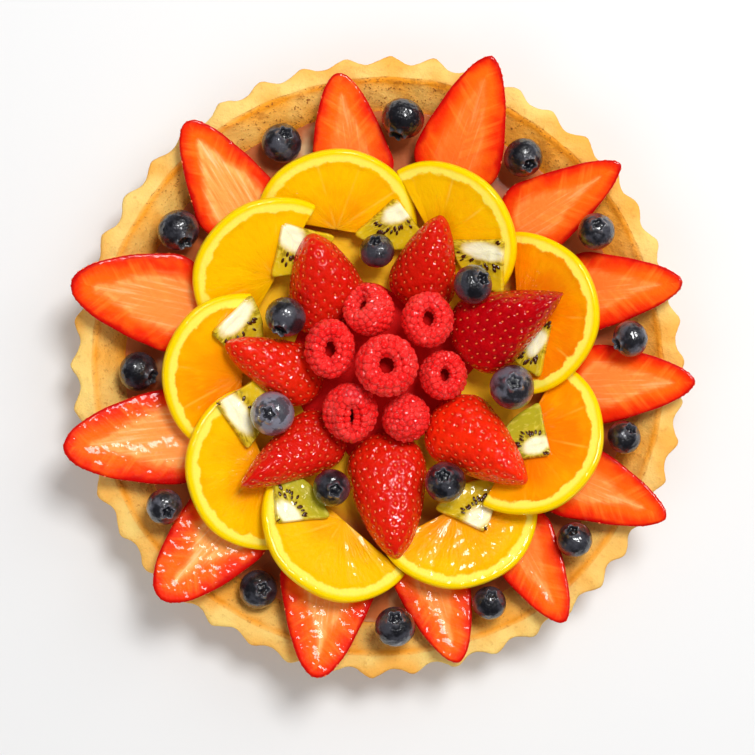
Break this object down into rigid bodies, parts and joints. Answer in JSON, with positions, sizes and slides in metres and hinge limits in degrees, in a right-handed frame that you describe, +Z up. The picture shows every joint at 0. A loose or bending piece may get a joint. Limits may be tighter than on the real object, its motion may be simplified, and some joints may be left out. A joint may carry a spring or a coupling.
{
  "type": "fruit tart",
  "caption": "Round open tart with a fluted pastry case, filled with custard and dressed with rings of sliced strawberries, oranges, kiwi, blueberries and raspberries.",
  "frame": {"origin": "centre of the underside of the pastry case", "axes": "+Z up through the tart; +X and +Y lie in the plane it stands on"},
  "size_m": [0.2311, 0.2327, 0.0578],
  "materials": {
    "baked_pastry": "matte, golden, a little browned inside the rim",
    "custard": "smooth and pale",
    "strawberry": "glazed, red skin and paler cut face",
    "orange": "glazed, juicy flesh, pale pith, yellow rind",
    "kiwi": "glazed, translucent, pale core and dark seeds",
    "blueberry": "dark with a thin grey bloom, glazed",
    "raspberry": "soft red drupelets"
  },
  "bodies": {
    "root": {"custard": "custard", "inner_blueberry_01": "blueberry", "inner_blueberry_02": "blueberry", "inner_blueberry_03": "blueberry", "inner_blueberry_04": "blueberry", "inner_blueberry_05": "blueberry", "inner_blueberry_06": "blueberry", "inner_blueberry_07": "blueberry", "orange_and_kiwi_01": "orange", "orange_and_kiwi_02": "orange", "orange_and_kiwi_03": "orange", "orange_and_kiwi_04": "orange", "orange_and_kiwi_05": "orange", "orange_and_kiwi_06": "orange", "orange_and_kiwi_07": "orange", "orange_and_kiwi_08": "orange", "orange_and_kiwi_09": "orange", "outer_blueberry_01": "blueberry", "outer_blueberry_02": "blueberry", "outer_blueberry_03": "blueberry", "outer_blueberry_04": "blueberry", "outer_blueberry_05": "blueberry", "outer_blueberry_06": "blueberry", "outer_blueberry_07": "blueberry", "outer_blueberry_08": "blueberry", "outer_blueberry_09": "blueberry", "outer_blueberry_10": "blueberry", "outer_blueberry_11": "blueberry", "outer_blueberry_12": "blueberry", "outer_blueberry_13": "blueberry", "pastry_case": "baked_pastry", "raspberry_01": "raspberry", "raspberry_02": "raspberry", "raspberry_03": "raspberry", "raspberry_04": "raspberry", "raspberry_05": "raspberry", "raspberry_06": "raspberry", "raspberry_07": "raspberry", "strawberry_half_01": "strawberry", "strawberry_half_02": "strawberry", "strawberry_half_03": "strawberry", "strawberry_half_04": "strawberry", "strawberry_half_05": "strawberry", "strawberry_half_06": "strawberry", "strawberry_half_07": "strawberry", "strawberry_slice_01": "strawberry", "strawberry_slice_02": "strawberry", "strawberry_slice_03": "strawberry", "strawberry_slice_04": "strawberry", "strawberry_slice_05": "strawberry", "strawberry_slice_06": "strawberry", "strawberry_slice_07": "strawberry", "strawberry_slice_08": "strawberry", "strawberry_slice_09": "strawberry", "strawberry_slice_10": "strawberry", "strawberry_slice_11": "strawberry", "strawberry_slice_12": "strawberry", "strawberry_slice_13": "strawberry"}
  },
  "joints": []
}
